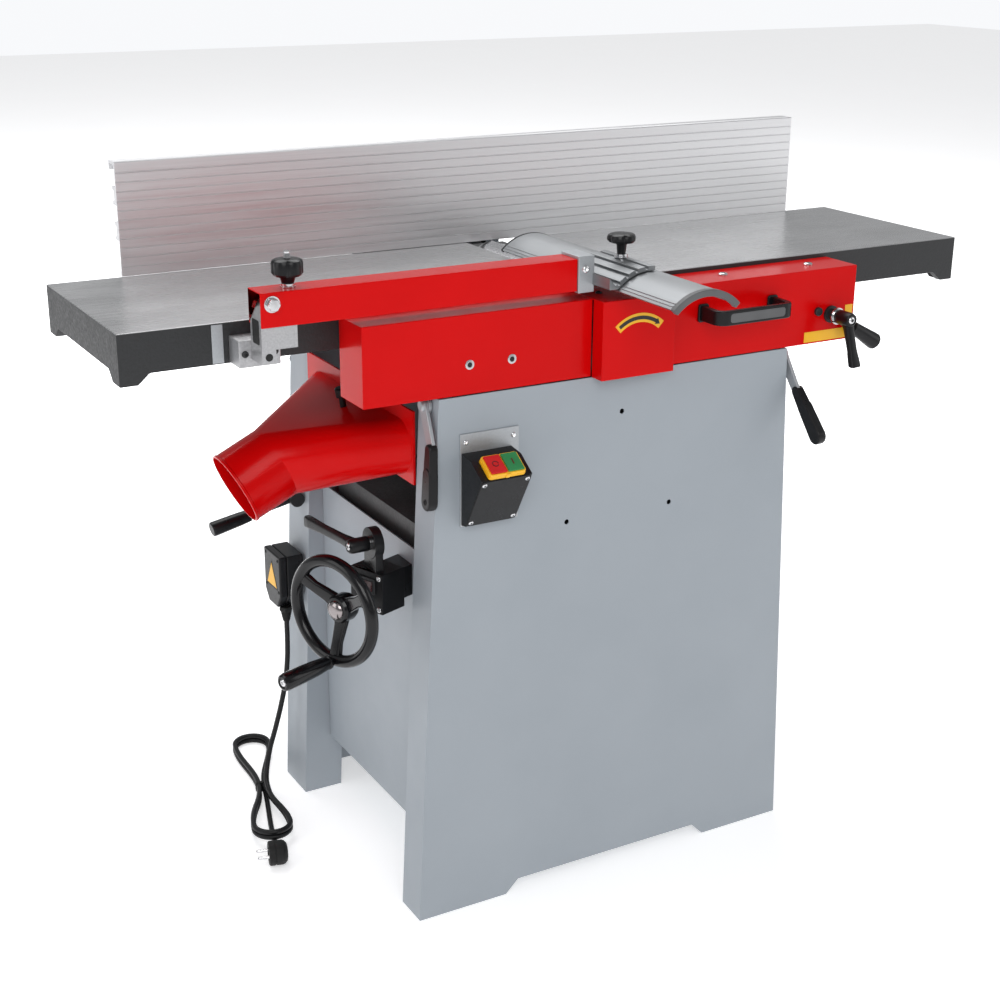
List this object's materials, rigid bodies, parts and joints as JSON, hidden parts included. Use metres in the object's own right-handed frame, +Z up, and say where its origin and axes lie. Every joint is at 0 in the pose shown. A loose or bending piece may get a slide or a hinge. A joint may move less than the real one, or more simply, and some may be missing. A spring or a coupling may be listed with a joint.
{
  "type": "combined surface planer and thicknesser",
  "caption": "Planer-thicknesser: ribbed cast tables with fence and bridge guard over a cutter block, on a tapered grey sheet-metal cabinet with red covers, dust chute and lift handwheel.",
  "frame": {"origin": "on the floor, below the middle of the two tables", "axes": "+X along the tables from outfeed to infeed end, +Y from the operator's side to the fence and the back, +Z up"},
  "size_m": [1.28, 0.77, 0.9985],
  "materials": {
    "cabinet_grey": "semi-gloss grey powder coat",
    "red_paint": "gloss red powder coat",
    "cast_iron": "ground on top, dark painted below",
    "aluminium": "anodised, brushed along its length",
    "steel": "bright turned or zinc plated",
    "zinc_cast": "rough die cast",
    "black_plastic": "satin black moulding",
    "black_rubber": "dull black",
    "yellow_plastic": "satin yellow moulding",
    "button_red": "satin red moulding",
    "button_green": "satin green moulding",
    "motor_paint": "dark grey paint"
  },
  "bodies": {
    "cabinet": {"front_panel": "cabinet_grey", "rear_panel": "cabinet_grey", "left_panel": "cabinet_grey", "right_panel": "cabinet_grey", "base_shelf": "cabinet_grey", "head_plate_front": "cast_iron", "head_plate_rear": "cast_iron", "centre_cover": "red_paint", "motor": "motor_paint", "drive_belt": "black_rubber", "switch_bracket": "steel", "switch_box": "black_plastic", "switch_frame": "yellow_plastic", "terminal_box": "black_plastic", "cord_gland": "black_rubber", "power_cord": "black_rubber", "cord_hank": "black_rubber", "mains_plug": "black_rubber", "lift_housing": "black_plastic", "fold_pin_left": "steel", "fold_pin_right": "steel"},
    "table_unit": {"outfeed_table": "cast_iron", "left_cover": "red_paint", "right_cover": "red_paint", "table_carrier_left": "cast_iron", "table_carrier_right": "cast_iron", "grab_handle": "black_plastic", "guard_bracket": "zinc_cast", "guard_hinge_block": "zinc_cast", "fence_bracket": "cast_iron"},
    "infeed_table": {"infeed_table": "cast_iron"},
    "guard_arm": {"guard_arm": "red_paint", "guard_clamp": "aluminium"},
    "guard_lift_knob": {"guard_lift_knob": "black_plastic"},
    "bridge_guard": {"guard_profile": "aluminium", "guard_end_cap": "black_plastic"},
    "guard_slide_knob": {"guard_slide_knob": "black_plastic"},
    "fence_bar": {"fence_bar": "steel"},
    "fence": {"fence": "aluminium"},
    "fence_slide_lever": {"fence_slide_lever": "black_plastic"},
    "cutter": {"cutter_block": "steel", "cutter_pulley": "steel"},
    "motor_pulley": {"motor_pulley": "steel"},
    "infeed_roller": {"infeed_roller": "steel"},
    "outfeed_roller": {"outfeed_roller": "steel"},
    "kickback_fingers": {"kickback_fingers": "steel"},
    "thickness_bed": {"thickness_bed": "cast_iron"},
    "lift_nut": {"lift_nut": "steel"},
    "handwheel": {"handwheel": "black_plastic", "handwheel_shaft": "steel"},
    "crank_grip": {"crank_grip": "black_plastic"},
    "bed_clamp_lever": {"bed_clamp_lever": "black_plastic"},
    "dust_chute": {"dust_chute": "red_paint"},
    "left_lock_lever": {"left_lock_lever": "black_plastic"},
    "right_lock_lever": {"right_lock_lever": "black_plastic"},
    "height_lever": {"height_lever": "black_plastic"},
    "height_clamp_lever": {"height_clamp_lever": "black_plastic"},
    "feed_lever": {"feed_lever": "black_plastic"},
    "stop_button": {"stop_button": "button_red"},
    "start_button": {"start_button": "button_green"}
  },
  "joints": [
    {"name": "table_fold", "type": "hinge", "parent": "cabinet", "child": "table_unit", "pos_m": [0, 0.235, 0.8], "axis": [-1, 0, 0], "range_deg": [0, 90]},
    {"name": "infeed_table_height", "type": "slide", "parent": "table_unit", "child": "infeed_table", "axis": [0, 0, -1], "range_m": [0, 0.003]},
    {"name": "infeed_height_lever", "type": "hinge", "parent": "table_unit", "child": "height_lever", "pos_m": [0.35, -0.2173, 0.779], "axis": [0, -1, 0], "range_deg": [0, 60.1]},
    {"name": "infeed_height_clamp", "type": "hinge", "parent": "table_unit", "child": "height_clamp_lever", "pos_m": [0.35, -0.2336, 0.779], "axis": [0, -1, 0], "range_deg": [0, 60]},
    {"name": "guard_arm_lift", "type": "hinge", "parent": "table_unit", "child": "guard_arm", "pos_m": [-0.478, -0.2, 0.882], "axis": [0, -1, 0], "range_deg": [0, 12]},
    {"name": "guard_lift_knob_turn", "type": "hinge", "parent": "guard_arm", "child": "guard_lift_knob", "pos_m": [-0.45, -0.2005, 0.8958], "axis": [0, 0, 1], "range_deg": [0, 270]},
    {"name": "guard_slide", "type": "slide", "parent": "guard_arm", "child": "bridge_guard", "axis": [0, -1, 0], "range_m": [-0.09, 0.2]},
    {"name": "guard_slide_knob_turn", "type": "hinge", "parent": "guard_arm", "child": "guard_slide_knob", "pos_m": [0.009, -0.2, 0.8877], "axis": [0, 0, 1], "range_deg": [0, 270]},
    {"name": "fence_slide", "type": "slide", "parent": "table_unit", "child": "fence_bar", "axis": [0, -1, 0], "range_m": [0, 0.095]},
    {"name": "fence_tilt", "type": "hinge", "parent": "fence_bar", "child": "fence", "pos_m": [0, 0.178, 0.866], "axis": [-1, 0, 0], "range_deg": [0, 45]},
    {"name": "fence_slide_clamp", "type": "hinge", "parent": "table_unit", "child": "fence_slide_lever", "pos_m": [-0.1753, 0.222, 0.872], "axis": [1, 0, 0], "range_deg": [0, 40]},
    {"name": "cutter_spin", "type": "hinge", "parent": "cabinet", "child": "cutter", "pos_m": [0.012, 0, 0.815], "axis": [0, 1, 0], "continuous": true},
    {"name": "motor_spin", "type": "hinge", "parent": "cabinet", "child": "motor_pulley", "pos_m": [0.135, 0, 0.215], "axis": [0, 1, 0], "continuous": true},
    {"name": "infeed_roller_spin", "type": "hinge", "parent": "cabinet", "child": "infeed_roller", "pos_m": [-0.05, 0, 0.797], "axis": [0, 1, 0], "continuous": true},
    {"name": "outfeed_roller_spin", "type": "hinge", "parent": "cabinet", "child": "outfeed_roller", "pos_m": [0.074, 0, 0.797], "axis": [0, 1, 0], "continuous": true},
    {"name": "kickback_swing", "type": "hinge", "parent": "cabinet", "child": "kickback_fingers", "pos_m": [-0.093, 0, 0.8], "axis": [0, -1, 0], "range_deg": [0, 40]},
    {"name": "bed_lift", "type": "slide", "parent": "cabinet", "child": "thickness_bed", "axis": [0, 0, 1], "range_m": [0, 0.2]},
    {"name": "lift_nut_turn", "type": "hinge", "parent": "cabinet", "child": "lift_nut", "pos_m": [0, 0, 0.4], "axis": [0, 0, 1], "range_deg": [0, 9001]},
    {"name": "handwheel_turn", "type": "hinge", "parent": "cabinet", "child": "handwheel", "pos_m": [-0.38, -0.143, 0.452], "axis": [0.9361, 0.3518, 0], "range_deg": [0, 18010]},
    {"name": "crank_grip_spin", "type": "hinge", "parent": "handwheel", "child": "crank_grip", "pos_m": [-0.38824, -0.1461, 0.3835], "axis": [-0.9361, -0.3518, 0], "continuous": true},
    {"name": "bed_clamp", "type": "hinge", "parent": "cabinet", "child": "bed_clamp_lever", "pos_m": [-0.3183, -0.12, 0.527], "axis": [-1, 0, 0], "range_deg": [0, 30]},
    {"name": "chute_pull", "type": "slide", "parent": "cabinet", "child": "dust_chute", "axis": [-1, 0, 0], "range_m": [0, 0.06]},
    {"name": "left_table_lock", "type": "hinge", "parent": "cabinet", "child": "left_lock_lever", "pos_m": [-0.26506, -0.19, 0.7255], "axis": [-0.9989, 0, 0.0464], "range_deg": [0, 60]},
    {"name": "right_table_lock", "type": "hinge", "parent": "cabinet", "child": "right_lock_lever", "pos_m": [0.27906, -0.198, 0.7255], "axis": [-0.9989, 0, -0.0464], "range_deg": [-30, 20]},
    {"name": "feed_engage", "type": "hinge", "parent": "cabinet", "child": "feed_lever", "pos_m": [-0.288, 0.205, 0.482], "axis": [0, 1, 0], "range_deg": [0, 25]},
    {"name": "stop_press", "type": "slide", "parent": "cabinet", "child": "stop_button", "axis": [0, 0.5382, -0.8428], "range_m": [0, 0.002], "stiffness_N_per_m": 400},
    {"name": "start_press", "type": "slide", "parent": "cabinet", "child": "start_button", "axis": [0, 0.5382, -0.8428], "range_m": [0, 0.002], "stiffness_N_per_m": 400}
  ],
  "couplings": [
    {"joint": "infeed_height_lever", "follows": "infeed_table_height", "rad_per_m": 349.07},
    {"joint": "motor_spin", "follows": "cutter_spin", "ratio": 0.7105},
    {"joint": "infeed_roller_spin", "follows": "cutter_spin", "ratio": -0.0175},
    {"joint": "outfeed_roller_spin", "follows": "cutter_spin", "ratio": -0.0175},
    {"joint": "handwheel_turn", "follows": "bed_lift", "rad_per_m": 1570.8},
    {"joint": "lift_nut_turn", "follows": "bed_lift", "rad_per_m": 785.4}
  ]
}
